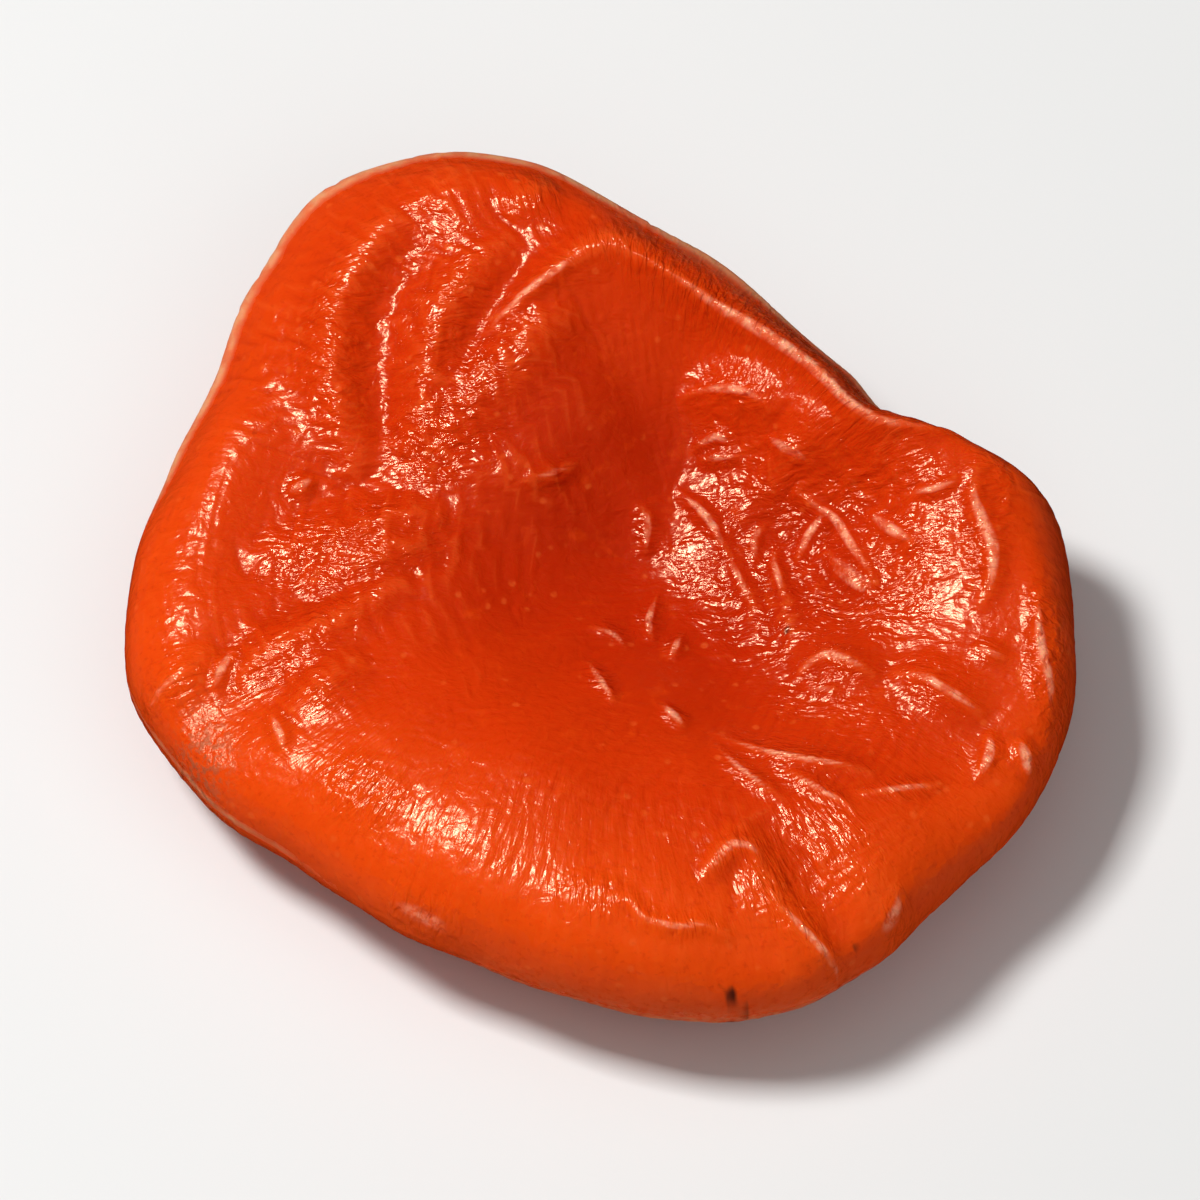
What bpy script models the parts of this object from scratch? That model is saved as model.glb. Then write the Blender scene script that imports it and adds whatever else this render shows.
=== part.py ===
"""Dried apricot: one whole pitted fruit, pressed and dried into a soft cushion with a hollow on top.

The body starts as a cube's grid blown up to a ball. Each point of the ball is drawn out to a section that
changes round the fruit: hollow, crest, rim, underside. Folds then run over the top as smooth lines.
The fruit lies flat on three low places, hollow upwards, with +X along its longest side.
"""
import math

import bmesh
import bpy
import numpy as np
from mathutils import Vector, noise

MM = 0.001
NODE = "dried_apricot"

WIDTH = 40.0        # the fruit's length along X in mm; everything below is scaled to it at the end
GRID_CUTS = 30      # cuts along each edge of the starting cube

# The section round the fruit: degrees from +X, rim radius, crest radius and crest height in mm, and the
# steepness of the hollow's wall (above 1: a flat floor and a wall close to the crest).
STATIONS = (
    (-165, 21.4, 16.6, 8.9, 1.10),
    (-150, 20.4, 14.9, 9.4, 1.10),
    (-135, 18.7, 13.0, 9.9, 1.10),
    (-120, 19.1, 12.6, 10.0, 1.10),
    (-105, 19.5, 12.9, 10.3, 1.10),
    (-90, 20.7, 13.9, 10.4, 1.15),
    (-75, 21.9, 15.4, 10.1, 1.20),
    (-62, 22.5, 16.8, 9.7, 1.30),
    (-48, 21.2, 17.6, 9.3, 1.40),
    (-30, 21.7, 18.5, 9.2, 1.40),
    (-15, 21.5, 18.9, 9.4, 1.50),
    (0, 20.2, 17.5, 9.9, 1.50),
    (12, 19.0, 16.7, 10.2, 1.50),
    (20, 16.5, 14.3, 10.3, 1.60),
    (28, 14.4, 12.2, 10.6, 1.75),
    (40, 14.1, 11.8, 11.0, 1.85),
    (55, 14.2, 11.8, 11.3, 1.85),
    (70, 15.3, 12.2, 11.5, 1.75),
    (85, 16.9, 13.3, 11.7, 1.40),
    (100, 19.5, 15.9, 12.0, 1.05),
    (115, 21.8, 17.2, 12.0, 0.90),
    (127, 22.3, 17.4, 11.6, 0.90),
    (140, 20.6, 16.5, 10.9, 0.95),
    (152, 19.4, 15.4, 9.9, 1.00),
    (165, 19.4, 15.9, 9.1, 1.10),
)

# Shares of the way from the top's middle to the underside's middle.
CREST_AT, RIM_AT, FOOT_AT = 0.325, 0.50, 0.70

# The edge at the back and, tighter, at the front: rim height in mm, and how round it is above and below (1: an
# ellipse's quarter; below 1 fuller, above 1 leaner). The front one is at its strongest at this turn, in degrees.
BACK_EDGE = (5.0, 0.93, 0.98)
FRONT_EDGE = (5.5, 0.84, 1.22)
FRONT_TURN = -65.0

HOLLOW_FLOOR = 5.9
HOLLOW_MIDDLE = (3.2, 0.4)
FOOT_SHARE = 0.60           # radius of the ring it lies on, as a share of the rim radius
UNDERSIDE_RISE = 1.7        # of the underside's middle

# Broad swellings of the top: x, y, reach along x, reach along y, height, in mm.
SWELLINGS = (
    (-8.2, 10.2, 5.0, 5.0, 0.7),
    (-9.5, -1.5, 5.5, 4.0, 0.6),
    (11.0, -1.5, 4.5, 5.0, 0.5),
    (0.5, -10.5, 8.0, 3.0, 0.35),
)

# Smaller ones, all of one reach: x, y, height.
SMALL_REACH = 3.0
SMALL_SWELLINGS = (
    (6.6, -20.0, -0.35), (-6.7, -16.7, 0.33), (-2.9, -16.7, -0.31), (0.9, -16.7, -0.42),
    (4.7, -16.7, -0.27), (8.5, -16.7, -0.77), (-1.0, -13.4, -0.38), (2.8, -13.4, -0.35),
    (6.6, -13.4, -0.24), (14.2, -13.4, -0.25), (-14.3, -10.1, -0.48), (-10.5, -10.1, -0.34),
    (-6.7, -10.1, -0.25), (0.9, -10.1, -0.44), (12.3, -10.1, -0.35), (16.1, -10.1, -1.06),
    (-16.2, -6.8, -1.18), (-12.4, -6.8, -0.35), (2.8, -6.8, 0.42), (18.0, -6.8, -0.37),
    (-18.1, -3.5, -0.31), (-14.3, -3.5, -0.39), (-6.7, -3.5, 0.29), (8.5, -3.5, 0.63), (12.3, -3.5, 0.25),
    (16.1, -3.5, -0.24), (-16.2, -0.2, -0.44), (-12.4, -0.2, -0.44), (-8.6, -0.2, 0.43), (-4.8, -0.2, 0.43),
    (6.6, -0.2, 0.32), (18.0, -0.2, -0.31), (-14.3, 3.1, -0.21), (-6.7, 3.1, 0.65), (-2.9, 3.1, 1.45),
    (4.7, 3.1, 0.92), (-12.4, 6.4, -0.39), (-8.6, 6.4, -0.55), (-1.0, 6.4, 0.95), (2.8, 6.4, 0.60),
    (-14.3, 9.8, -0.62), (-10.5, 9.8, -0.44), (-6.7, 9.8, -0.42), (-2.9, 9.8, 0.70), (0.9, 9.8, 0.30),
    (4.7, 9.8, -0.99), (8.5, 9.8, -0.44), (-12.4, 13.1, -0.86), (-4.8, 13.1, -0.36), (-1.0, 13.1, 0.45),
    (-10.5, 16.4, -0.32),
)

# Folds of the top: width, height (below zero: a crease), and points in plan, in mm.
LOBE_FOLDS = (
    (1.5, 0.75, ((-8.8, 15.2), (-10.0, 13.9), (-11.3, 11.8), (-11.7, 10.0), (-11.8, 8.3), (-11.5, 6.8), (-11.0, 5.0),
                 (-10.6, 3.5))),
    (1.5, 0.70, ((-3.8, 13.9), (-5.2, 12.4), (-6.5, 10.8), (-7.2, 9.2), (-7.7, 7.8), (-8.0, 6.1), (-8.0, 4.4))),
    (1.6, 0.65, ((-1.0, 10.4), (-2.6, 9.4), (-4.1, 8.2), (-5.5, 6.8), (-6.6, 5.5), (-7.3, 4.3))),
    (1.2, 0.35, ((-2.0, 16.6), (-3.2, 15.7), (-4.3, 14.5))),
    (1.6, -0.65, ((-7.0, 15.2), (-8.6, 13.0), (-9.8, 10.9), (-10.1, 8.6), (-9.9, 6.6), (-9.5, 5.0))),
    (1.2, -0.45, ((-3.0, 13.4), (-4.5, 11.5), (-6.0, 9.4), (-7.0, 7.6))),
)
LEFT_FOLDS = (
    (1.3, 0.55, ((-15.7, -0.4), (-14.5, 0.1), (-12.1, 0.6), (-10.3, 1.1), (-8.6, 1.5), (-6.8, 1.4))),
    (1.1, 0.35, ((-13.4, -1.3), (-11.4, -1.0), (-9.3, -0.4), (-7.3, 0.4))),
    (1.2, 0.55, ((-8.4, -1.4), (-10.1, -2.2), (-11.6, -3.2), (-13.4, -4.2), (-14.9, -5.0), (-16.2, -6.0))),
    (1.1, 0.30, ((-16.6, -4.6), (-17.8, -5.4), (-19.0, -6.2), (-20.2, -7.2))),
    (1.1, 0.30, ((-10.4, -5.3), (-11.4, -6.0), (-12.5, -7.0), (-13.6, -8.1))),
    (1.1, -0.35, ((-15.5, -3.2), (-12.5, -2.4), (-9.5, -1.2), (-6.5, 0.0))),
)
RIGHT_FOLDS = (
    (1.1, 0.30, ((3.2, 7.3), (4.2, 7.5), (5.5, 7.3), (6.7, 6.7), (7.5, 5.9))),
    (1.1, 0.30, ((8.2, 3.4), (9.2, 2.6), (10.1, 1.8), (10.9, 0.3), (12.0, -1.6))),
    (1.1, 0.30, ((8.3, -5.6), (9.3, -5.0), (10.3, -5.2), (11.9, -6.1))),
    (1.1, 0.30, ((12.4, -5.9), (13.7, -6.3), (14.7, -6.9), (15.7, -7.5), (16.5, -8.2))),
    (1.1, 0.18, ((4.7, -8.7), (6.8, -9.8), (8.8, -10.4), (10.6, -10.7), (11.9, -11.2))),
)
BACK_FOLDS = (
    (1.1, 0.55, ((-5.4, 9.4), (-4.1, 10.6), (-2.0, 12.1), (0.3, 13.2), (2.2, 12.6), (5.0, 11.0), (8.1, 9.1),
                 (10.1, 7.2), (11.6, 5.4), (14.1, 5.1), (16.7, 5.2))),
)
FRONT_FOLDS = (
    (1.6, -0.55, ((6.8, -13.2), (8.1, -15.2), (9.4, -17.1), (10.6, -18.9), (11.8, -20.6))),
    (1.1, 0.40, ((4.3, -16.5), (4.9, -15.5), (5.8, -14.9), (6.7, -15.5), (7.5, -17.2), (8.5, -18.5), (9.9, -19.8))),
)
FOLDS = LOBE_FOLDS + LEFT_FOLDS + RIGHT_FOLDS + BACK_FOLDS + FRONT_FOLDS
END_WIDTH = 0.65            # a fold's width at its ends, as a share of its full width
FOLD_TAPER = 0.75           # how soon a fold reaches its full height (below 1: sooner)

# The lip along the back edge: from and to in degrees; place, how far that rises towards the back and width as
# shares of the way down; height in mm.
LIP_FROM, LIP_TO, LIP_FADE = 14.0, 170.0, 8.0
LIP_AT, LIP_RISE, LIP_WIDTH, LIP_HEIGHT = 0.475, 0.085, 0.028, 0.28

# Waves round the fruit: count, turn in degrees, height in mm.
FLANK_WAVES = ((5, 25, 0.15), (8, 80, 0.13), (13, 10, 0.09))
FLANK_LEAN = 70.0           # turn of each flank wave between rim and foot
UNDERSIDE_WAVES = ((4, 60, 0.30), (7, 15, 0.26), (11, 130, 0.14))
WAVE_UNEVENNESS = 30.0

# The seam down the front flank, and the stalk's scar underneath.
SEAM_TURN, SEAM_WIDTH, SEAM_DEPTH = -60.0, 5.0, 0.35
SCAR_AT, SCAR_WIDTH, SCAR_DEPTH = (5.5, -3.0), 1.7, 0.9

# Soft random lumps all over: size, height, shift of the pattern.
LUMPS = ((7.0, 0.30, 3.1), (3.4, 0.16, 11.7))

# The low places: turn of the first in degrees, how far the places between them rise, depth cut flat.
FEET, FEET_TURN, FEET_RISE, FEET_CUT = 3, 40.0, 0.55, 0.16


def around(degrees, column):
    """A station value at these degrees, on a smooth closed curve through the table."""
    laps = (-360, 0, 360)
    at = np.array([row[0] + lap for lap in laps for row in STATIONS], float)
    value = np.array([row[column] for _ in laps for row in STATIONS], float)
    slope = np.gradient(value, at)
    i = np.clip(np.searchsorted(at, degrees) - 1, 0, len(at) - 2)
    span = at[i + 1] - at[i]
    t = (degrees - at[i]) / span
    rest = 1 - t
    return (rest**2 * (1 + 2 * t) * value[i] + t * rest**2 * span * slope[i]
            + t**2 * (1 + 2 * rest) * value[i + 1] - t**2 * rest * span * slope[i + 1])


def ramp(low, high, x):
    """0 at low, 1 at high, soft in between; low may be the larger."""
    t = np.clip((x - low) / (high - low), 0.0, 1.0)
    return t * t * (3 - 2 * t)


def bell(x, width):
    """1 at zero, fading over the width."""
    return np.exp(-((x / width) ** 2))


def waves(degrees, table, lean=0.0):
    """Uneven waves round the fruit; lean shifts them along, in degrees."""
    total = np.zeros(degrees.shape)
    for count, turn, height in table:
        uneven = WAVE_UNEVENNESS * np.sin(np.radians(2 * degrees + turn))
        total += height * np.sin(np.radians(count * degrees + turn + lean + uneven))
    return total


def lumps(points):
    """Height of the soft random lumps at each point."""
    total = np.zeros(len(points))
    for size, height, shift in LUMPS:
        total += height * np.array([noise.noise(Vector(p / size + shift)) for p in points])
    return total


def smooth_line(points, steps=8):
    """Samples of a Catmull-Rom line through the points, and the share of its length at each."""
    p = np.array(points, float)
    p = np.vstack([2 * p[0] - p[1], p, 2 * p[-1] - p[-2]])
    samples = []
    for a, b, c, d in zip(p[:-3], p[1:-2], p[2:-1], p[3:]):
        for t in np.arange(steps) / steps:
            bend = 2 * a - 5 * b + 4 * c - d
            twist = 3 * b - a - 3 * c + d
            samples.append(b + 0.5 * ((c - a) * t + bend * t**2 + twist * t**3))
    samples.append(p[-2])
    line = np.array(samples)
    run = np.concatenate([[0.0], np.cumsum(np.linalg.norm(np.diff(line, axis=0), axis=1))])
    return line, run / run[-1]


def fold(x, y, width, height, points):
    """Height of one fold over the plan: a soft ridge that thins out towards both ends."""
    line, share = smooth_line(points)
    nearest = np.full(x.shape, np.inf)
    along = np.zeros(x.shape)
    for a, b, start, end in zip(line[:-1], line[1:], share[:-1], share[1:]):
        d = b - a
        t = np.clip(((x - a[0]) * d[0] + (y - a[1]) * d[1]) / (d @ d), 0.0, 1.0)
        gap = np.hypot(x - a[0] - t * d[0], y - a[1] - t * d[1])
        closer = gap < nearest
        nearest = np.where(closer, gap, nearest)
        along = np.where(closer, start + t * (end - start), along)
    body = np.sin(math.pi * along) ** FOLD_TAPER
    return height * body * bell(nearest, width * (END_WIDTH + (1 - END_WIDTH) * body))


def section(degrees, t):
    """Radius and height on the smooth body, from the angle round it and the share t of the way down."""
    rim, crest, top, steepness = (around(degrees, column) for column in (1, 2, 3, 4))
    foot = FOOT_SHARE * rim
    front = ramp(0.35, 0.8, 0.5 + 0.5 * np.cos(np.radians(degrees - FRONT_TURN)))
    rim_height, above, below = (a + (b - a) * front for a, b in zip(BACK_EDGE, FRONT_EDGE))
    hollow = np.clip(t / CREST_AT, 0, 1)
    upper = np.clip((t - CREST_AT) / (RIM_AT - CREST_AT), 0, 1) * math.pi / 2
    lower = np.clip((t - RIM_AT) / (FOOT_AT - RIM_AT), 0, 1) * math.pi / 2
    under = np.clip((1 - t) / (1 - FOOT_AT), 0, 1)
    stretch = (t <= CREST_AT, t <= RIM_AT, t <= FOOT_AT)
    radius = np.select(stretch, (
        crest * hollow,
        crest + (rim - crest) * np.sin(upper) ** above,
        foot + (rim - foot) * np.cos(lower) ** below,
    ), foot * under)
    height = np.select(stretch, (
        HOLLOW_FLOOR + (top - HOLLOW_FLOOR) * (0.5 - 0.5 * np.cos(math.pi * hollow ** steepness)),
        rim_height + (top - rim_height) * np.cos(upper) ** above,
        rim_height - rim_height * np.sin(lower) ** below,
    ), UNDERSIDE_RISE * (0.5 + 0.5 * np.cos(math.pi * under)))
    return radius, height


def lip(degrees, t):
    """1 on the thin lip along the back edge."""
    turn = degrees % 360
    start = ramp(LIP_FROM - LIP_FADE, LIP_FROM + LIP_FADE, turn)
    end = ramp(LIP_TO + LIP_FADE, LIP_TO - LIP_FADE, turn)
    at = LIP_AT - LIP_RISE * np.clip(np.sin(np.radians(degrees)), 0, 1) ** 1.5
    return start * end * bell(t - at, LIP_WIDTH)


def flank_relief(degrees, t, flank):
    """How far puckers, lip and seam move the flank outwards."""
    lean = FLANK_LEAN * (t - RIM_AT) / (FOOT_AT - RIM_AT)
    seam = bell(degrees - SEAM_TURN, SEAM_WIDTH)
    return flank * (waves(degrees, FLANK_WAVES, lean) - SEAM_DEPTH * seam) + LIP_HEIGHT * lip(degrees, t)


def top_relief(x, y):
    """Height of swellings and folds over the plan."""
    total = np.zeros(x.shape)
    for at_x, at_y, reach_x, reach_y, height in SWELLINGS:
        total += height * bell(np.hypot((x - at_x) / reach_x, (y - at_y) / reach_y), 1.0)
    for at_x, at_y, height in SMALL_SWELLINGS:
        total += height * bell(np.hypot(x - at_x, y - at_y), SMALL_REACH)
    for width, height, points in FOLDS:
        total += fold(x, y, width, height, points)
    return total


def underside_relief(degrees, x, y):
    """How far the underside's folds and the stalk's scar go up."""
    scar = bell(np.hypot(x - SCAR_AT[0], y - SCAR_AT[1]), SCAR_WIDTH)
    seam = bell(degrees - SEAM_TURN, SEAM_WIDTH)
    return waves(degrees, UNDERSIDE_WAVES) + SEAM_DEPTH * seam + SCAR_DEPTH * scar


def formed(ball):
    """Points of a unit ball drawn out to the fruit, in mm, lying on the ground round the origin."""
    degrees = np.degrees(np.arctan2(ball[:, 1], ball[:, 0]))
    t = np.arccos(np.clip(ball[:, 2], -1, 1)) / math.pi
    top = ramp(0.50, 0.40, t)
    flank = ramp(0.36, 0.50, t) * ramp(0.72, 0.56, t)
    below = ramp(0.56, 0.74, t) * ramp(0.96, 0.76, t)

    radius, z = section(degrees, t)
    radius = radius + flank_relief(degrees, t, flank)
    out_x = np.cos(np.radians(degrees))
    out_y = np.sin(np.radians(degrees))
    middle = ramp(CREST_AT, 0.0, t)
    x = radius * out_x + HOLLOW_MIDDLE[0] * middle
    y = radius * out_y + HOLLOW_MIDDLE[1] * middle
    z = z + top * top_relief(x, y) + below * underside_relief(degrees, x, y)

    uneven = lumps(np.stack([x, y, z], -1))
    x = x + uneven * flank * out_x
    y = y + uneven * flank * out_y
    z = z + uneven * (top - below)

    between_feet = 0.5 - 0.5 * np.cos(np.radians(FEET * (degrees - FEET_TURN)))
    z = z + FEET_RISE * between_feet * ramp(0.60, 0.70, t) * ramp(1.0, 0.8, t)
    z = np.maximum(z - FEET_CUT, 0.0)

    points = np.stack([x, y, z], -1)
    low, high = points.min(axis=0), points.max(axis=0)
    points[:, :2] -= (low[:2] + high[:2]) / 2
    return points * WIDTH / (high[0] - low[0])


def skin_material():
    """Deep orange dried skin."""
    material = bpy.data.materials.new("Dried Apricot Skin")
    material.use_nodes = True
    shader = material.node_tree.nodes["Principled BSDF"]
    shader.inputs["Base Color"].default_value = (0.62, 0.075, 0.012, 1.0)
    shader.inputs["Metallic"].default_value = 0.0
    shader.inputs["Roughness"].default_value = 0.38
    shader.inputs["Subsurface Weight"].default_value = 0.25
    shader.inputs["Subsurface Scale"].default_value = 2.0 * MM
    return material


def dried_apricot(collection):
    """The fruit as one closed body."""
    mesh = bpy.data.meshes.new(NODE)
    grid = bmesh.new()
    bmesh.ops.create_cube(grid, size=2.0)
    bmesh.ops.subdivide_edges(grid, edges=grid.edges[:], cuts=GRID_CUTS, use_grid_fill=True)
    grid.to_mesh(mesh)
    grid.free()

    cube = np.empty(len(mesh.vertices) * 3, np.float32)
    mesh.vertices.foreach_get("co", cube)
    ball = np.tan(cube.reshape(-1, 3).astype(float) * math.pi / 4)
    ball /= np.linalg.norm(ball, axis=1)[:, None]
    mesh.vertices.foreach_set("co", (formed(ball) * MM).astype(np.float32).ravel())
    mesh.update()
    mesh.shade_smooth()
    mesh.materials.append(skin_material())
    fruit = bpy.data.objects.new(NODE, mesh)
    collection.objects.link(fruit)
    return fruit


def main():
    """Build the fruit in an empty scene."""
    for old in list(bpy.data.objects):
        bpy.data.objects.remove(old, do_unlink=True)
    collection = bpy.data.collections.new("Dried Apricot")
    bpy.context.scene.collection.children.link(collection)
    dried_apricot(collection)


main()
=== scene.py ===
"""Dried apricot: its finished skin, a pale studio floor, soft light and a camera.

The skin is a cube's grid shaped to the solid's own sections and folds, with finer folds added. Then it dries: it
grows a little over soft flesh, wrinkles, and keeps the wrinkles. The tables are in mm and degrees, and the whole
shape is scaled to the solid's width at the end.
"""
import math

import bpy
import numpy as np
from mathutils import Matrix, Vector, noise


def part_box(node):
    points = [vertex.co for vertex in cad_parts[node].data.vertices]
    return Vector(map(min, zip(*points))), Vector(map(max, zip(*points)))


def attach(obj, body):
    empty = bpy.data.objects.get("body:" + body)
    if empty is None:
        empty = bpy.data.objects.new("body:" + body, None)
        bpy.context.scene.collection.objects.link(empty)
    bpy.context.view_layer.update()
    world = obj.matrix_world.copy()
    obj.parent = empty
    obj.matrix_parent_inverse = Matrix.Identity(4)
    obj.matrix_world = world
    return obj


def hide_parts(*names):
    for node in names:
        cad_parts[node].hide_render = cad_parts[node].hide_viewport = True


bl_info = {
    "name": "Dried Apricot",
    "version": (1, 0, 0),
    "blender": (4, 5, 0),
    "location": "3D View > Sidebar > Apricot",
    "description": "Builds a wrinkled dried apricot and a plain studio for it",
    "category": "Object",
}

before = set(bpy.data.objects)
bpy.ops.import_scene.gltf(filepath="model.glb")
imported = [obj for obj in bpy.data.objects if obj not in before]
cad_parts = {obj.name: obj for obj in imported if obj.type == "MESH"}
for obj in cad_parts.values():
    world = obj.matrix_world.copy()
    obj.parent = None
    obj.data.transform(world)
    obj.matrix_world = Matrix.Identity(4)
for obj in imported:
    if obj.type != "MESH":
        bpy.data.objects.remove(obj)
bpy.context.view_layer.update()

MM = 0.001
NODE = "dried_apricot"
PIECE = "apricot_skin_visible"
FRUIT_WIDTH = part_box(NODE)[1][0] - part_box(NODE)[0][0]

GRID_CUTS = (8, 13)     # two rounds of cuts: 126 faces along each edge of the starting cube

# The section round the fruit: degrees from +X, rim radius, crest radius and crest height, and the steepness of
# the hollow's wall (above 1: a flat floor and a wall close to the crest).
STATIONS = (
    (-165, 21.4, 16.6, 8.9, 1.10),
    (-150, 20.4, 14.9, 9.4, 1.10),
    (-135, 18.7, 13.0, 9.9, 1.10),
    (-120, 19.1, 12.6, 10.0, 1.10),
    (-105, 19.5, 12.9, 10.3, 1.10),
    (-90, 20.7, 13.9, 10.4, 1.15),
    (-75, 21.9, 15.4, 10.1, 1.20),
    (-62, 22.5, 16.8, 9.7, 1.30),
    (-48, 21.2, 17.6, 9.3, 1.40),
    (-30, 21.7, 18.5, 9.2, 1.40),
    (-15, 21.5, 18.9, 9.4, 1.50),
    (0, 20.2, 17.5, 9.9, 1.50),
    (12, 19.0, 16.7, 10.2, 1.50),
    (20, 16.5, 14.3, 10.3, 1.60),
    (28, 14.4, 12.2, 10.6, 1.75),
    (40, 14.1, 11.8, 11.0, 1.85),
    (55, 14.2, 11.8, 11.3, 1.85),
    (70, 15.3, 12.2, 11.5, 1.75),
    (85, 16.9, 13.3, 11.7, 1.40),
    (100, 19.5, 15.9, 12.0, 1.05),
    (115, 21.8, 17.2, 12.0, 0.90),
    (127, 22.3, 17.4, 11.6, 0.90),
    (140, 20.6, 16.5, 10.9, 0.95),
    (152, 19.4, 15.4, 9.9, 1.00),
    (165, 19.4, 15.9, 9.1, 1.10),
)

# Shares of the way from the top's middle to the underside's middle.
CREST_AT, RIM_AT, FOOT_AT = 0.325, 0.50, 0.70

# Pairs of such shares between which forms come in or go out: those of the top, flank, underside and low places.
TOP_FADE = (0.50, 0.40)
FLANK_IN, FLANK_OUT = (0.36, 0.50), (0.72, 0.56)
UNDERSIDE_IN, UNDERSIDE_OUT = (0.56, 0.74), (0.96, 0.76)
FEET_IN, FEET_OUT = (0.60, 0.70), (1.0, 0.8)

# The edge at the back and, tighter, at the front: rim height, and how round it is above and below (1: an ellipse's
# quarter; below 1 fuller, above 1 leaner). The front one is at its strongest at this turn, and the spread says how
# the one gives way to the other round the fruit.
BACK_EDGE = (5.0, 0.93, 0.98)
FRONT_EDGE = (5.5, 0.84, 1.22)
FRONT_TURN, FRONT_SPREAD = -65.0, (0.35, 0.8)

# The hollow's floor and how far its middle is shifted, and the underside: the radius at its foot as a share of the
# rim's, and how far its middle rises.
HOLLOW_FLOOR = 5.9
HOLLOW_MIDDLE = (3.2, 0.4)
FOOT_SHARE = 0.60
UNDERSIDE_RISE = 1.7

# Broad swellings of the top: x, y, reach along x, reach along y, height.
SWELLINGS = (
    (-8.2, 10.2, 5.0, 5.0, 0.7),
    (-9.5, -1.5, 5.5, 4.0, 0.6),
    (11.0, -1.5, 4.5, 5.0, 0.5),
    (0.5, -10.5, 8.0, 3.0, 0.35),
)

# Smaller ones, all of one reach: x, y, height.
SMALL_REACH = 3.0
SMALL_SWELLINGS = (
    (6.6, -20.0, -0.35), (-6.7, -16.7, 0.33), (-2.9, -16.7, -0.31), (0.9, -16.7, -0.42),
    (4.7, -16.7, -0.27), (8.5, -16.7, -0.77), (-1.0, -13.4, -0.38), (2.8, -13.4, -0.35),
    (6.6, -13.4, -0.24), (14.2, -13.4, -0.25), (-14.3, -10.1, -0.48), (-10.5, -10.1, -0.34),
    (-6.7, -10.1, -0.25), (0.9, -10.1, -0.44), (12.3, -10.1, -0.35), (16.1, -10.1, -1.06),
    (-16.2, -6.8, -1.18), (-12.4, -6.8, -0.35), (2.8, -6.8, 0.42), (18.0, -6.8, -0.37),
    (-18.1, -3.5, -0.31), (-14.3, -3.5, -0.39), (-6.7, -3.5, 0.29), (8.5, -3.5, 0.63), (12.3, -3.5, 0.25),
    (16.1, -3.5, -0.24), (-16.2, -0.2, -0.44), (-12.4, -0.2, -0.44), (-8.6, -0.2, 0.43), (-4.8, -0.2, 0.43),
    (6.6, -0.2, 0.32), (18.0, -0.2, -0.31), (-14.3, 3.1, -0.21), (-6.7, 3.1, 0.65), (-2.9, 3.1, 1.45),
    (4.7, 3.1, 0.92), (-12.4, 6.4, -0.39), (-8.6, 6.4, -0.55), (-1.0, 6.4, 0.95), (2.8, 6.4, 0.60),
    (-14.3, 9.8, -0.62), (-10.5, 9.8, -0.44), (-6.7, 9.8, -0.42), (-2.9, 9.8, 0.70), (0.9, 9.8, 0.30),
    (4.7, 9.8, -0.99), (8.5, 9.8, -0.44), (-12.4, 13.1, -0.86), (-4.8, 13.1, -0.36), (-1.0, 13.1, 0.45),
    (-10.5, 16.4, -0.32),
)

# Folds of the top: width, height (below zero: a crease), and points in plan.
LOBE_FOLDS = (
    (1.5, 0.75, ((-8.8, 15.2), (-10.0, 13.9), (-11.3, 11.8), (-11.7, 10.0), (-11.8, 8.3), (-11.5, 6.8), (-11.0, 5.0),
                 (-10.6, 3.5))),
    (1.5, 0.70, ((-3.8, 13.9), (-5.2, 12.4), (-6.5, 10.8), (-7.2, 9.2), (-7.7, 7.8), (-8.0, 6.1), (-8.0, 4.4))),
    (1.6, 0.65, ((-1.0, 10.4), (-2.6, 9.4), (-4.1, 8.2), (-5.5, 6.8), (-6.6, 5.5), (-7.3, 4.3))),
    (1.2, 0.35, ((-2.0, 16.6), (-3.2, 15.7), (-4.3, 14.5))),
    (1.6, -0.65, ((-7.0, 15.2), (-8.6, 13.0), (-9.8, 10.9), (-10.1, 8.6), (-9.9, 6.6), (-9.5, 5.0))),
    (1.2, -0.45, ((-3.0, 13.4), (-4.5, 11.5), (-6.0, 9.4), (-7.0, 7.6))),
)
LEFT_FOLDS = (
    (1.3, 0.55, ((-15.7, -0.4), (-14.5, 0.1), (-12.1, 0.6), (-10.3, 1.1), (-8.6, 1.5), (-6.8, 1.4))),
    (1.1, 0.35, ((-13.4, -1.3), (-11.4, -1.0), (-9.3, -0.4), (-7.3, 0.4))),
    (1.2, 0.55, ((-8.4, -1.4), (-10.1, -2.2), (-11.6, -3.2), (-13.4, -4.2), (-14.9, -5.0), (-16.2, -6.0))),
    (1.1, 0.30, ((-16.6, -4.6), (-17.8, -5.4), (-19.0, -6.2), (-20.2, -7.2))),
    (1.1, 0.30, ((-10.4, -5.3), (-11.4, -6.0), (-12.5, -7.0), (-13.6, -8.1))),
    (1.1, -0.35, ((-15.5, -3.2), (-12.5, -2.4), (-9.5, -1.2), (-6.5, 0.0))),
)
RIGHT_FOLDS = (
    (1.1, 0.30, ((3.2, 7.3), (4.2, 7.5), (5.5, 7.3), (6.7, 6.7), (7.5, 5.9))),
    (1.1, 0.30, ((8.2, 3.4), (9.2, 2.6), (10.1, 1.8), (10.9, 0.3), (12.0, -1.6))),
    (1.1, 0.30, ((8.3, -5.6), (9.3, -5.0), (10.3, -5.2), (11.9, -6.1))),
    (1.1, 0.30, ((12.4, -5.9), (13.7, -6.3), (14.7, -6.9), (15.7, -7.5), (16.5, -8.2))),
    (1.1, 0.18, ((4.7, -8.7), (6.8, -9.8), (8.8, -10.4), (10.6, -10.7), (11.9, -11.2))),
)
BACK_FOLDS = (
    (1.1, 0.55, ((-5.4, 9.4), (-4.1, 10.6), (-2.0, 12.1), (0.3, 13.2), (2.2, 12.6), (5.0, 11.0), (8.1, 9.1),
                 (10.1, 7.2), (11.6, 5.4), (14.1, 5.1), (16.7, 5.2))),
)
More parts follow.
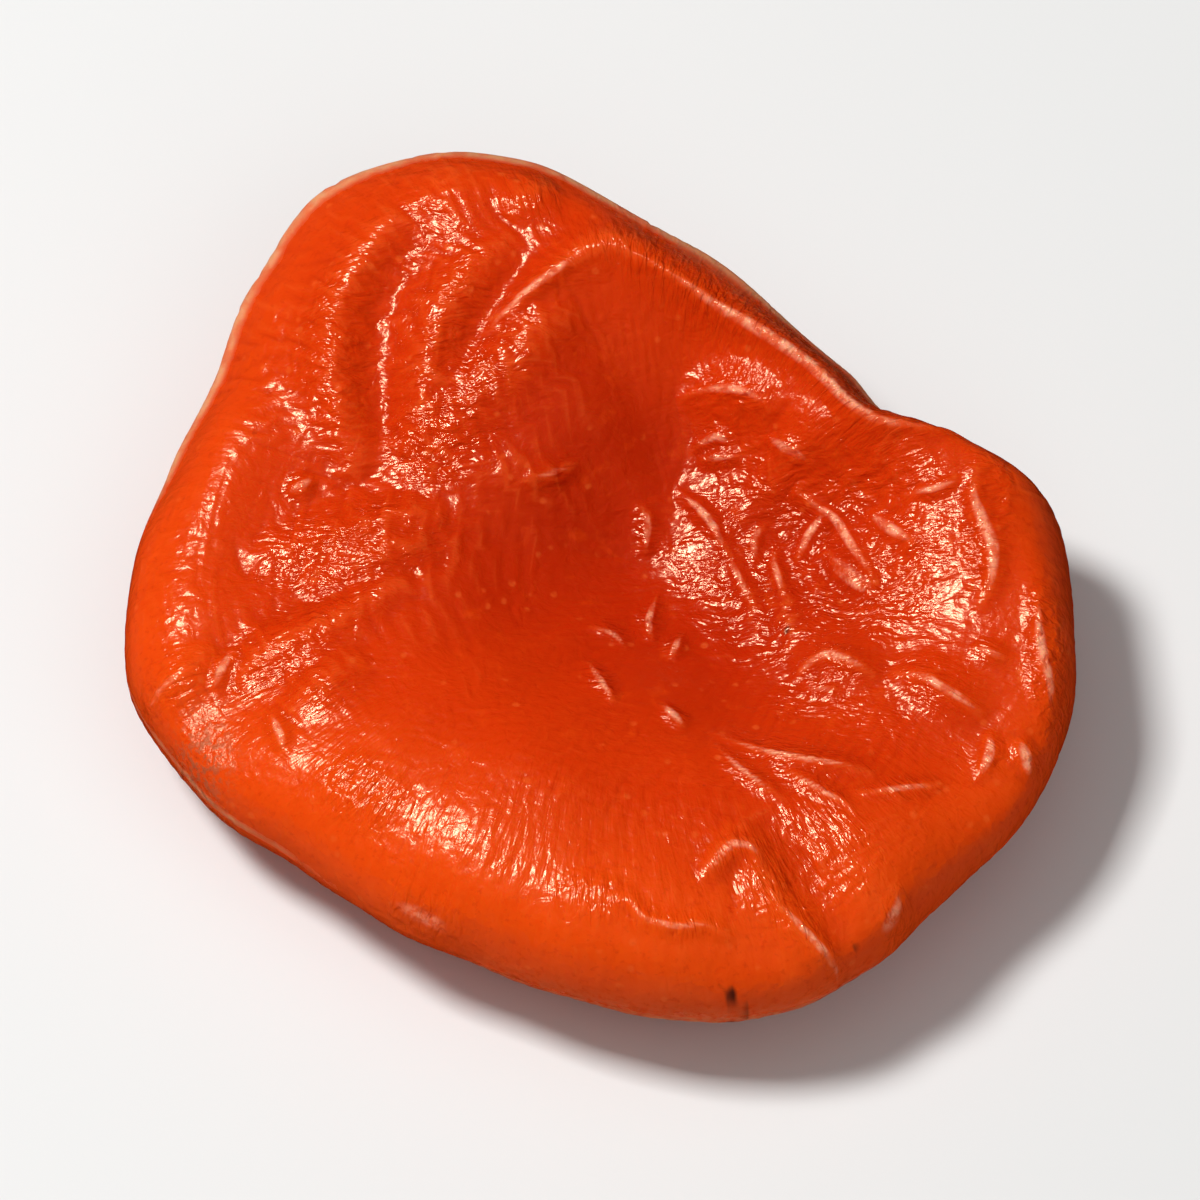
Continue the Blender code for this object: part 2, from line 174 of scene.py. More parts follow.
FRONT_FOLDS = (
    (1.6, -0.55, ((6.8, -13.2), (8.1, -15.2), (9.4, -17.1), (10.6, -18.9), (11.8, -20.6))),
    (1.1, 0.40, ((4.3, -16.5), (4.9, -15.5), (5.8, -14.9), (6.7, -15.5), (7.5, -17.2), (8.5, -18.5), (9.9, -19.8))),
)
FINE_FOLDS = (
    (0.32, 0.12, ((-5.8, 9.0), (-4.1, 10.4), (-3.1, 11.2), (-1.9, 12.0), (-0.7, 12.7), (0.4, 12.9))),
    (0.46, 0.38, ((0.4, 12.9), (2.1, 12.3), (3.5, 11.6), (4.8, 10.8), (6.3, 9.9), (7.8, 8.8), (8.8, 8.0), (9.8, 7.0),
                  (10.6, 6.1), (11.5, 5.4), (12.4, 5.0), (14.1, 4.9), (15.4, 5.1), (16.7, 4.9))),
    (0.32, 0.14, ((-16.0, -4.4), (-16.5, -5.3), (-17.0, -6.5))),
    (0.30, 0.11, ((-17.6, -5.2), (-19.0, -6.1), (-20.2, -7.0))),
    (0.32, 0.12, ((-14.5, -7.7), (-14.0, -9.0), (-13.8, -10.1))),
    (0.29, 0.09, ((-3.7, 3.0), (-2.3, 3.6), (-0.9, 4.3))),
    (0.32, 0.12, ((-13.9, 2.8), (-13.3, 3.1), (-12.5, 3.6))),
    (0.32, 0.11, ((3.2, 7.4), (4.2, 7.6), (5.5, 7.4), (6.7, 6.8), (7.5, 6.0))),
    (0.30, 0.11, ((3.8, 5.5), (4.9, 5.8), (5.8, 5.3))),
    (0.30, 0.10, ((4.0, 5.0), (5.1, 5.0), (6.2, 4.9))),
    (0.30, 0.11, ((6.9, 5.6), (8.0, 4.7), (9.3, 4.0))),
    (0.32, 0.16, ((8.2, 3.4), (9.2, 2.6), (10.1, 1.8), (10.9, 0.3), (12.0, -1.6))),
    (0.32, 0.15, ((9.8, 2.4), (8.9, 1.4), (8.5, 0.2))),
    (0.29, 0.12, ((9.7, 0.0), (10.8, -1.2), (11.9, -2.1))),
    (0.38, 0.16, ((11.4, 2.1), (12.6, 0.8), (13.7, -0.1))),
    (0.30, 0.11, ((12.9, 2.3), (14.4, 2.3), (15.8, 2.7))),
    (0.30, 0.14, ((3.0, 4.0), (4.2, 2.9), (5.0, 1.7), (5.5, 0.4))),
    (0.30, 0.11, ((1.2, 3.1), (1.9, 2.5), (1.8, 0.8))),
    (0.29, 0.11, ((7.3, 2.3), (6.6, 1.4), (6.8, 0.1))),
    (0.46, 0.19, ((16.2, 3.4), (16.1, 2.0), (16.5, 0.7), (16.9, -0.5), (16.8, -2.1), (16.2, -3.4))),
    (0.38, 0.17, ((18.9, -2.3), (18.9, -4.2), (19.1, -5.4), (19.4, -6.7), (19.3, -8.2))),
    (0.32, 0.15, ((8.0, -6.0), (9.3, -5.0), (10.3, -5.1), (12.1, -6.2))),
    (0.29, 0.10, ((8.3, -5.8), (9.2, -6.4), (10.6, -6.6))),
    (0.34, 0.15, ((12.2, -5.9), (13.7, -6.3), (14.7, -6.9), (15.7, -7.5), (16.7, -8.4))),
    (0.38, 0.16, ((16.7, -8.5), (16.7, -9.8), (16.2, -11.1))),
    (0.42, 0.16, ((17.9, -9.0), (18.3, -9.8), (18.4, -10.8))),
    (0.29, 0.11, ((15.8, -4.9), (17.0, -5.3), (17.7, -5.7))),
    (0.29, 0.14, ((4.5, -8.6), (6.8, -9.8), (8.8, -10.4), (10.6, -10.7), (12.1, -11.3))),
    (0.29, 0.12, ((10.9, -12.2), (12.7, -11.8), (14.9, -11.3))),
    (0.29, 0.12, ((4.6, -9.1), (5.7, -10.6), (7.0, -11.8), (8.1, -12.6))),
    (0.29, 0.12, ((7.7, -10.8), (9.3, -11.9), (10.9, -13.0))),
    (0.32, 0.08, ((8.4, -14.2), (9.3, -15.0), (9.6, -16.5))),
    (0.34, 0.14, ((2.4, -7.2), (3.0, -7.9), (3.6, -8.8))),
    (0.29, 0.11, ((-0.8, -2.9), (0.4, -3.2), (1.1, -4.2))),
    (0.29, 0.12, ((-0.8, -4.7), (-0.1, -6.2), (0.6, -7.7))),
    (0.30, 0.12, ((2.4, -0.8), (2.0, -2.3), (2.2, -3.7))),
    (0.30, 0.11, ((3.5, -2.9), (3.2, -3.8), (2.9, -4.6))),
    (0.29, 0.11, ((9.4, 0.8), (10.8, -0.7), (12.3, -2.2))),
    (0.29, 0.11, ((5.3, 1.2), (6.0, -0.6), (6.8, -2.2))),
    (0.29, 0.11, ((7.4, 1.2), (7.6, -0.4), (7.9, -1.9))),
    (0.32, 0.14, ((4.1, -16.8), (4.9, -15.6), (5.6, -14.9), (6.4, -15.0), (7.0, -15.8))),
    (0.32, 0.14, ((7.2, -17.0), (8.3, -18.2), (9.6, -19.3), (11.0, -20.4))),
    (0.30, 0.10, ((-0.4, -17.3), (1.0, -17.6), (1.8, -18.4), (3.2, -18.7), (4.5, -18.6), (6.2, -19.3))),
    (0.38, 0.11, ((12.4, -16.1), (12.7, -17.0), (11.7, -18.4))),
    (0.38, 0.10, ((-9.8, -16.1), (-8.3, -16.9), (-7.0, -17.6), (-5.9, -18.3))),
)
FOLDS = LOBE_FOLDS + LEFT_FOLDS + RIGHT_FOLDS + BACK_FOLDS + FRONT_FOLDS + FINE_FOLDS

# A fold's width at its ends as a share of its full width, and how bluntly it tapers (below 1: blunter).
END_WIDTH = 0.5
FOLD_TAPER = 0.75

# The lip along the back edge: from, to and fade in degrees; place, how far it climbs at the back and how late, and
# width as shares of the way down; height.
LIP_FROM, LIP_TO, LIP_FADE = 14.0, 170.0, 8.0
LIP_AT, LIP_RISE, LIP_LATENESS = 0.475, 0.085, 1.5
LIP_WIDTH, LIP_HEIGHT = 0.013, 0.28

# The painted rim highlight on the left edge, a pale line of colour with no height: its strength, place, width, turn
# and reach round the fruit.
PAINTED_RIM_HIGHLIGHT, PAINTED_RIM_HIGHLIGHT_AT, PAINTED_RIM_HIGHLIGHT_WIDTH, PAINTED_RIM_HIGHLIGHT_TURN, PAINTED_RIM_HIGHLIGHT_REACH = 0.7, 0.497, 0.006, -150, 22

# Waves round the fruit: count, turn, height. Those of the flank lean by this many degrees on their way down, and
# all of them are shifted to and fro by the unevenness.
FLANK_WAVES = ((5, 25, 0.15), (8, 80, 0.13), (13, 10, 0.09))
FLANK_LEAN = 70.0
UNDERSIDE_WAVES = ((4, 60, 0.30), (7, 15, 0.26), (11, 130, 0.14))
WAVE_UNEVENNESS = 30.0

# The seam down the front flank, and the stalk's scar underneath.
SEAM_TURN, SEAM_WIDTH, SEAM_DEPTH = -60.0, 5.0, 0.35
SCAR_AT, SCAR_WIDTH, SCAR_DEPTH = (5.5, -3.0), 1.7, 0.9

# Soft random lumps all over: size, height, shift of the pattern.
LUMPS = ((7.0, 0.30, 3.1), (3.4, 0.16, 11.7))

# The low places: how many, turn of the first, how far the skin rises between them, and the depth cut flat.
FEET, FEET_TURN, FEET_RISE, FEET_CUT = 3, 40.0, 0.55, 0.16

# Where the skin shrinks most: middle x, y, reach along x, reach along y, turn. Then how abruptly a patch ends.
LOBE_PATCH = (-8.5, 9.0, 6.5, 7.5, 0.0)
LEFT_PATCH = (-11.0, -0.5, 7.5, 5.5, 15.0)
FAN_PATCH = (10.5, -2.0, 8.5, 9.5, 0.0)
PATCH_EDGE = 6

# Drying. How much the skin grows at most: in the broad drying on the patches and underneath, with the shares of the
# lobe and the left patch, and in the fine one everywhere, on busy places of the top, on the lobe and on the left.
PATCH_GROWTH, UNDERSIDE_GROWTH = 0.22, 0.12
LOBE_SHARE, LEFT_SHARE = 0.3, 0.85
FINE_GROWTH, BUSY_GROWTH, LOBE_GROWTH, LEFT_GROWTH = 0.04, 0.06, 0.07, 0.03

# Of each drying: growth at right angles to its own direction as a share of that along it, stiffness against bending,
# how firmly the flesh holds the skin, the unevenness it starts from, its rounds, and the share of it that is kept.
BROAD_DRYING = (0.0, 2.5, 0.04, 0.2, 160, 0.55)
FINE_DRYING = (0.5, 0.15, 0.06, 0.15, 120, 0.35)

# The hold where the skin lies on the floor, the hold along the surface as a share of that off it, how stiff the
# skin is along its edges and across its faces, and how much of its speed it keeps from round to round.
FLOOR_HOLD, SLIDING_HOLD = 0.6, 0.3
EDGE_STIFFNESS, DIAGONAL_STIFFNESS = 1.0, 0.5
KEPT_SPEED = 0.93

# Random values in the drying: size and shift of the pattern. The second one turns its direction by so many radians.
BUSY_SIZE, BUSY_SHIFT = 3.2, 5.3
TURNED_BY, TURNED_SIZE, TURNED_SHIFT = 0.6, 4.5, 21.0
DIRECTION_REACH = 3.5       # how far a fold sets the direction of the skin round it

# Where the skin is finely crinkled besides the folds: places as the patches above, and how strongly.
CRINKLED = (
    (-6.9, 5.3, 2.6, 2.2, 35.0, 1.0),
    (-9.0, 14.8, 4.0, 2.6, 0.0, 0.5),
    (-10.5, -0.2, 4.5, 1.8, 12.0, 0.8),
    (16.6, 0.6, 1.2, 3.6, 0.0, 1.0),
    (19.2, -5.5, 0.9, 3.6, 5.0, 1.0),
    (9.5, 0.5, 6.0, 5.5, 0.0, 0.8),
    (10.5, -7.5, 4.0, 3.0, 0.0, 0.5),
    (-14.0, -4.8, 3.8, 1.8, 25.0, 0.8),
    (-11.8, -6.8, 2.4, 1.4, 35.0, 0.7),
    (9.6, -15.0, 2.4, 2.8, 35.0, 0.7),
    (-10.4, -12.0, 2.2, 1.5, -40.0, 0.9),
    (-0.4, -17.4, 1.8, 1.1, -10.0, 0.8),
    (-7.8, -17.2, 2.2, 0.9, -28.0, 0.7),
    (8.2, -17.8, 1.4, 1.2, -40.0, 0.8),
)
CRINKLE_REST = 0.20                             # everywhere else
CRINKLE_REACH, LEAST_CRINKLE_REACH = 1.3, 0.7   # along folds: in fold widths, and in mm

# The painted highlight on each fine fold, a pale line: its width in fold widths, and the fold's height that makes it
# full.
PAINTED_HIGHLIGHT_REACH, FULL_PAINTED_HIGHLIGHT = 0.85, 0.13

# Small dark marks: x, y, reach, strength. Then a dry scuffed place: x, y, reach along x, reach along y.
SPECKS = (
    (8.0, -3.3, 0.24, 0.9),
    (10.9, -18.7, 0.24, 0.7),
    (5.5, -20.9, 0.30, 0.9),
    (6.1, -21.1, 0.20, 0.8),
    (4.9, -20.7, 0.16, 0.7),
    (4.4, -11.9, 0.16, 0.6),
    (-15.2, 5.6, 0.20, 0.6),
    (-18.3, -9.2, 0.18, 0.7),
)
SCUFF = (-17.3, -9.3, 1.3, 2.0)

# The finest grain of the edge lies on a drum of this radius and length: fine round the fruit, drawn out down it.
# Elsewhere it runs across folds that lie at these turns, on the lobe, on the left and on the right, at this scale.
WRAP_RADIUS, WRAP_LENGTH = 50.0, 42.0
LOBE_GRAIN, LEFT_GRAIN, FAN_GRAIN = -20.6, 108.0, 35.0
GRAIN_SCALE = (1.1, 3.0, 1.1)

# How the finish finds fine and broad forms: rounds of evening out, and the height that counts as full.
FINE_ROUNDS, FINE_HEIGHT = 10, 0.10
BROAD_ROUNDS, BROAD_HEIGHT = 90, 0.9
ON_TOP = (0.56, 0.46)           # marks of the top go out between these shares of the way down
OFF_UNDERSIDE = (0.62, 0.55)    # and small marks of top and flank between these
# About this turn the roll is painted warmest: partly its own warmer tone, partly painted light.
ROLL_TURN = -100                # where the plump roll is plumpest

# The studio, in metres: floor, where the camera looks, how far away it stands, and its film's width in mm.
FLOOR_SIZE = 4.0
AIM = (0.0, 0.0, 6 * MM)
CAMERA_DISTANCE, FILM_WIDTH = 0.66, 36.0

# Its lights: place and size, and for the soft ones how many times the fill's power.
KEY_PLACE, KEY_SIZE = (-0.20, 0.05, 0.42), 0.10
OVERHEAD_PLACE, OVERHEAD_SIZE, OVERHEAD_SHARE = (0.05, -0.10, 0.70), 1.00, 2.0
FRONT_PLACE, FRONT_SIZE, FRONT_SHARE = (0.35, -0.60, 0.50), 0.90, 2.3

SEED = 7        # of the random unevenness that the drying starts from


def around(degrees, column):
    """A station value at these degrees, on a smooth closed curve through the table."""
    laps = (-360, 0, 360)
    at = np.array([row[0] + lap for lap in laps for row in STATIONS], float)
    value = np.array([row[column] for _ in laps for row in STATIONS], float)
    slope = np.gradient(value, at)
    i = np.clip(np.searchsorted(at, degrees) - 1, 0, len(at) - 2)
    span = at[i + 1] - at[i]
    t = (degrees - at[i]) / span
    rest = 1 - t
    return (rest**2 * (1 + 2 * t) * value[i] + t * rest**2 * span * slope[i]
            + t**2 * (1 + 2 * rest) * value[i + 1] - t**2 * rest * span * slope[i + 1])


def ramp(low, high, x):
    """0 at low, 1 at high, soft in between; low may be the larger."""
    t = np.clip((x - low) / (high - low), 0.0, 1.0)
    return t * t * (3 - 2 * t)


def bell(x, width):
    """1 at zero, fading over the width."""
    return np.exp(-((x / width) ** 2))


def waves(degrees, table, lean=0.0):
    """Uneven waves round the fruit; lean shifts them along, in degrees."""
    total = np.zeros(degrees.shape)
    for count, turn, height in table:
        uneven = WAVE_UNEVENNESS * np.sin(np.radians(2 * degrees + turn))
        total += height * np.sin(np.radians(count * degrees + turn + lean + uneven))
    return total


def soft_noise(points, size, shift):
    """Smooth random values, about -1 to 1, that change over the given size."""
    return np.array([noise.noise(Vector(p / size + shift)) for p in points])


def smooth_line(points, steps=8):
    """Samples of a Catmull-Rom line through the points, and the share of its length at each."""
    p = np.array(points, float)
    p = np.vstack([2 * p[0] - p[1], p, 2 * p[-1] - p[-2]])
    samples = []
    for a, b, c, d in zip(p[:-3], p[1:-2], p[2:-1], p[3:]):
        for t in np.arange(steps) / steps:
            bend = 2 * a - 5 * b + 4 * c - d
            twist = 3 * b - a - 3 * c + d
            samples.append(b + 0.5 * ((c - a) * t + bend * t**2 + twist * t**3))
    samples.append(p[-2])
    line = np.array(samples)
    run = np.concatenate([[0.0], np.cumsum(np.linalg.norm(np.diff(line, axis=0), axis=1))])
    return line, run / run[-1]


def fold(x, y, width, height, points):
    """Height of one fold over the plan: a soft ridge that thins out towards both ends."""
    line, share = smooth_line(points)
    total = np.zeros(x.shape)
    low, high = line.min(axis=0) - 4 * width, line.max(axis=0) + 4 * width
    near = np.flatnonzero((x > low[0]) & (x < high[0]) & (y > low[1]) & (y < high[1]))
    x, y = x[near], y[near]
    nearest = np.full(x.shape, np.inf)
    along = np.zeros(x.shape)
    for a, b, start, end in zip(line[:-1], line[1:], share[:-1], share[1:]):
        d = b - a
        t = np.clip(((x - a[0]) * d[0] + (y - a[1]) * d[1]) / (d @ d), 0.0, 1.0)
        gap = np.hypot(x - a[0] - t * d[0], y - a[1] - t * d[1])
        closer = gap < nearest
        nearest = np.where(closer, gap, nearest)
        along = np.where(closer, start + t * (end - start), along)
    body = np.sin(math.pi * along) ** FOLD_TAPER
    total[near] = height * body * bell(nearest, width * (END_WIDTH + (1 - END_WIDTH) * body))
    return total


def section(degrees, t):
    """Radius and height on the smooth body, from the angle round it and the share t of the way down."""
    rim, crest, top, steepness = (around(degrees, column) for column in (1, 2, 3, 4))
    foot = FOOT_SHARE * rim
    front = ramp(*FRONT_SPREAD, 0.5 + 0.5 * np.cos(np.radians(degrees - FRONT_TURN)))
    rim_height, above, below = (a + (b - a) * front for a, b in zip(BACK_EDGE, FRONT_EDGE))
    hollow = np.clip(t / CREST_AT, 0, 1)
    upper = np.clip((t - CREST_AT) / (RIM_AT - CREST_AT), 0, 1) * math.pi / 2
    lower = np.clip((t - RIM_AT) / (FOOT_AT - RIM_AT), 0, 1) * math.pi / 2
    under = np.clip((1 - t) / (1 - FOOT_AT), 0, 1)
    stretch = (t <= CREST_AT, t <= RIM_AT, t <= FOOT_AT)
    radius = np.select(stretch, (
        crest * hollow,
        crest + (rim - crest) * np.sin(upper) ** above,
        foot + (rim - foot) * np.cos(lower) ** below,
    ), foot * under)
    height = np.select(stretch, (
        HOLLOW_FLOOR + (top - HOLLOW_FLOOR) * (0.5 - 0.5 * np.cos(math.pi * hollow ** steepness)),
        rim_height + (top - rim_height) * np.cos(upper) ** above,
        rim_height - rim_height * np.sin(lower) ** below,
    ), UNDERSIDE_RISE * (0.5 + 0.5 * np.cos(math.pi * under)))
    return radius, height


def lip(degrees, t):
    """1 on the thin lip along the back edge."""
    turn = degrees % 360
    start = ramp(LIP_FROM - LIP_FADE, LIP_FROM + LIP_FADE, turn)
    end = ramp(LIP_TO + LIP_FADE, LIP_TO - LIP_FADE, turn)
    at = LIP_AT - LIP_RISE * np.clip(np.sin(np.radians(degrees)), 0, 1) ** LIP_LATENESS
    return start * end * bell(t - at, LIP_WIDTH)


def flank_relief(degrees, t, flank):
    """How far waves, lip and seam move the flank outwards."""
    lean = FLANK_LEAN * (t - RIM_AT) / (FOOT_AT - RIM_AT)
    seam = bell(degrees - SEAM_TURN, SEAM_WIDTH)
    return flank * (waves(degrees, FLANK_WAVES, lean) - SEAM_DEPTH * seam) + LIP_HEIGHT * lip(degrees, t)


def top_relief(x, y):
    """Height of swellings and folds over the plan."""
    total = np.zeros(x.shape)
    for at_x, at_y, reach_x, reach_y, height in SWELLINGS:
        total += height * bell(np.hypot((x - at_x) / reach_x, (y - at_y) / reach_y), 1.0)
    for at_x, at_y, height in SMALL_SWELLINGS:
        total += height * bell(np.hypot(x - at_x, y - at_y), SMALL_REACH)
    for width, height, points in FOLDS:
        total += fold(x, y, width, height, points)
    return total


def underside_relief(degrees, x, y):
    """How far the underside's waves, the seam and the stalk's scar go up."""
    scar = bell(np.hypot(x - SCAR_AT[0], y - SCAR_AT[1]), SCAR_WIDTH)
    seam = bell(degrees - SEAM_TURN, SEAM_WIDTH)
    return waves(degrees, UNDERSIDE_WAVES) + SEAM_DEPTH * seam + SCAR_DEPTH * scar


def formed(ball, width):
    """Points of a unit ball drawn out to the fruit, in mm, with each one's angle, share of the way down, and plan.

    The plan is where the point lies in the tables, before the fruit is centred and scaled to its width.
    """
    degrees = np.degrees(np.arctan2(ball[:, 1], ball[:, 0]))
    t = np.arccos(np.clip(ball[:, 2], -1, 1)) / math.pi
    top = ramp(*TOP_FADE, t)
    flank = ramp(*FLANK_IN, t) * ramp(*FLANK_OUT, t)
    below = ramp(*UNDERSIDE_IN, t) * ramp(*UNDERSIDE_OUT, t)

    radius, z = section(degrees, t)
    radius = radius + flank_relief(degrees, t, flank)
    out_x = np.cos(np.radians(degrees))
    out_y = np.sin(np.radians(degrees))
    middle = ramp(CREST_AT, 0.0, t)
    x = radius * out_x + HOLLOW_MIDDLE[0] * middle
    y = radius * out_y + HOLLOW_MIDDLE[1] * middle
    z = z + top * top_relief(x, y) + below * underside_relief(degrees, x, y)

    start = np.stack([x, y, z], -1)
    uneven = sum(height * soft_noise(start, size, shift) for size, height, shift in LUMPS)
    x = x + uneven * flank * out_x
    y = y + uneven * flank * out_y
    z = z + uneven * (top - below)

    between_feet = 0.5 - 0.5 * np.cos(np.radians(FEET * (degrees - FEET_TURN)))
    z = z + FEET_RISE * between_feet * ramp(*FEET_IN, t) * ramp(*FEET_OUT, t)
    z = np.maximum(z - FEET_CUT, 0.0)

    points = np.stack([x, y, z], -1)
    low, high = points.min(axis=0), points.max(axis=0)
    points[:, :2] -= (low[:2] + high[:2]) / 2
    return points * width / (high[0] - low[0]), degrees, t, np.stack([x, y], -1)


def neighbour_tables(count, quads):
    """Each point's neighbours along edges and across faces, filled up with the point itself."""
    tables = []
    sides = np.vstack([quads[:, [k, (k + 1) % 4]] for k in range(4)])
    across = np.vstack([quads[:, [0, 2]], quads[:, [1, 3]]])
    for pairs in (sides, across):
        pairs = np.unique(np.vstack([pairs, pairs[:, ::-1]]), axis=0)
        first = np.searchsorted(pairs[:, 0], np.arange(count))
        place = np.arange(len(pairs)) - first[pairs[:, 0]]
        table = np.repeat(np.arange(count)[:, None], 4, 1)
        keep = place < 4
        table[pairs[keep, 0], place[keep]] = pairs[keep, 1]
        tables.append(table)
    return tables


def outward(points, quads):
    """The unit normal at each point."""
    face = np.cross(points[quads[:, 2]] - points[quads[:, 0]], points[quads[:, 3]] - points[quads[:, 1]])
    total = np.zeros_like(points)
    for corner in range(4):
        for axis in range(3):
            total[:, axis] += np.bincount(quads[:, corner], face[:, axis], len(points))
    return total / np.linalg.norm(total, axis=1)[:, None]


def dried(start, quads, growth, along, other, bend, hold, lift, rounds):
    """The skin after it grows by the share growth in the direction along, by other times that across it, and buckles.

    All in edge lengths. bend is its stiffness against bending, hold how firmly the flesh keeps each point, and
    lift the small unevenness it starts from.
    """
    side, across = neighbour_tables(len(start), quads)
    near = np.hstack([side, across])
    out = outward(start, quads)
    gap = start[near] - start[:, None]
    rest = np.linalg.norm(gap, axis=2)
    own = rest == 0
    unit = gap / np.where(own, 1, rest)[:, :, None]
    share = 0.5 * (growth[near] + growth[:, None])
    rest = rest * (1 + share * (other + (1 - other) * (unit * along[:, None]).sum(2) ** 2))
    weight = np.where(own, 0.0, np.repeat([EDGE_STIFFNESS, DIAGONAL_STIFFNESS], 4))

    def spread(v):
        return v[side].mean(1) - v

    spread_start = spread(start)
    points = start + out * lift[:, None]
    ahead = points.copy()
    step = 1.0 / (12 + 4 * bend + hold.max())       # about the longest that stays steady
    for _ in range(rounds):
        gap = ahead[near] - ahead[:, None]
        length = np.sqrt((gap * gap).sum(2)) + 1e-12
        force = -((weight * (1 - rest / length))[:, :, None] * gap).sum(1)
        force += bend * spread(spread(ahead) - spread_start)
        off = ahead - start
        raised = (off * out).sum(1)[:, None] * out
        force += hold[:, None] * (raised + SLIDING_HOLD * (off - raised))
        moved = ahead - step * force
        ahead = moved + KEPT_SPEED * (moved - points)
        points = moved
    return points


def patch(plan, place):
    """1 inside an oval place of the plan, fading out over its edge."""
    x, y, reach_x, reach_y, turn = place
    a = math.radians(turn)
    dx, dy = plan[:, 0] - x, plan[:, 1] - y
    u = dx * math.cos(a) + dy * math.sin(a)
    v = dy * math.cos(a) - dx * math.sin(a)
    return 1 / (1 + np.exp(PATCH_EDGE * (np.hypot(u / reach_x, v / reach_y) - 1)))


def fold_direction(plan):
    """The direction in plan that the nearest folds run in, as unit vectors."""
    cos2, sin2 = np.full(len(plan), 1e-6), np.zeros(len(plan))
    for _, _, points in FOLDS:
        line, _ = smooth_line(points, 2)
        for a, b in zip(line[:-1], line[1:]):
            d = b - a
            turn = 2 * math.atan2(d[1], d[0])
            middle = (a + b) / 2
            away = np.hypot(plan[:, 0] - middle[0], plan[:, 1] - middle[1])
            weight = bell(away, DIRECTION_REACH) * np.linalg.norm(d)
            cos2 += weight * math.cos(turn)
            sin2 += weight * math.sin(turn)
    turn = np.arctan2(sin2, cos2) / 2
    return np.stack([np.cos(turn), np.sin(turn), np.zeros(len(plan))], -1)


def wrinkled(points, quads, degrees, t, plan, amount):
    """The smooth skin after two dryings: broad puckers, then fine crinkles."""
    face = np.cross(points[quads[:, 2]] - points[quads[:, 0]], points[quads[:, 3]] - points[quads[:, 1]])
    edge = math.sqrt(0.5 * np.linalg.norm(face, axis=1).mean())
    rng = np.random.default_rng(SEED)
    top = ramp(0.50, 0.42, t)
    lobe, left, fan = (patch(plan, place) * top for place in (LOBE_PATCH, LEFT_PATCH, FAN_PATCH))
    folds = fold_direction(plan)
    uneven = soft_noise(points, BUSY_SIZE, BUSY_SHIFT)
    turned = TURNED_BY * soft_noise(points, TURNED_SIZE, TURNED_SHIFT)
    across = np.stack([-folds[:, 1], folds[:, 0], folds[:, 2]], -1)
    across = np.stack([across[:, 0] * np.cos(turned) - across[:, 1] * np.sin(turned),
                       across[:, 0] * np.sin(turned) + across[:, 1] * np.cos(turned), across[:, 2]], -1)
    round_way = np.stack([-np.sin(np.radians(degrees)), np.cos(np.radians(degrees)), np.zeros(len(t))], -1)
    below = ramp(0.44, 0.52, t)[:, None]
    across = across * (1 - below) + round_way * below
    across /= np.linalg.norm(across, axis=1)[:, None]

    flat = points[:, 2] < 0.02
    busy = ramp(-0.25, 0.30, uneven)
    patches = np.clip(LOBE_SHARE * lobe + LEFT_SHARE * left + fan, 0, 1)
    growth = amount * (PATCH_GROWTH * busy * patches + UNDERSIDE_GROWTH * ramp(0.54, 0.66, t))
    other, bend, hold, lift, rounds, kept = BROAD_DRYING
    start = points / edge
    skin = dried(start, quads, growth, across, other, bend, np.where(flat, FLOOR_HOLD, hold),
                 lift * rng.normal(size=len(t)), rounds)
    skin = start + kept * (skin - start)

    fine = amount * (FINE_GROWTH + BUSY_GROWTH * busy * ramp(0.46, 0.40, t) + LOBE_GROWTH * lobe
                     + LEFT_GROWTH * left)
    ways = folds * (1 - below) + round_way * below
    ways /= np.linalg.norm(ways, axis=1)[:, None] + 1e-9
    other, bend, hold, lift, rounds, kept = FINE_DRYING
    crinkled = dried(skin, quads, fine, ways, other, bend, np.where(flat, FLOOR_HOLD, hold),
                     lift * rng.normal(size=len(t)), rounds)
    skin = (skin + kept * (crinkled - skin)) * edge
    skin[:, 2] = np.where(flat, np.maximum(points[:, 2], 0.0), np.maximum(skin[:, 2], 0.0))
    return skin


def grid_cube(name):
    """A cube cut into an even grid of faces, made in edit mode."""
    bpy.ops.object.select_all(action="DESELECT")
    bpy.ops.mesh.primitive_cube_add(size=2.0, calc_uvs=False)
    cube = bpy.context.object
    cube.name = name
    cube.data.name = name
    bpy.ops.object.mode_set(mode="EDIT")
    bpy.ops.mesh.select_all(action="SELECT")
    for cuts in GRID_CUTS:
        bpy.ops.mesh.subdivide(number_cuts=cuts)
    bpy.ops.object.mode_set(mode="OBJECT")
    return cube


def relaxed(values, side, rounds):
    """Values evened out with their neighbours'."""
    for _ in range(rounds):
        values = 0.5 * values + 0.5 * values[side].mean(1)
    return values


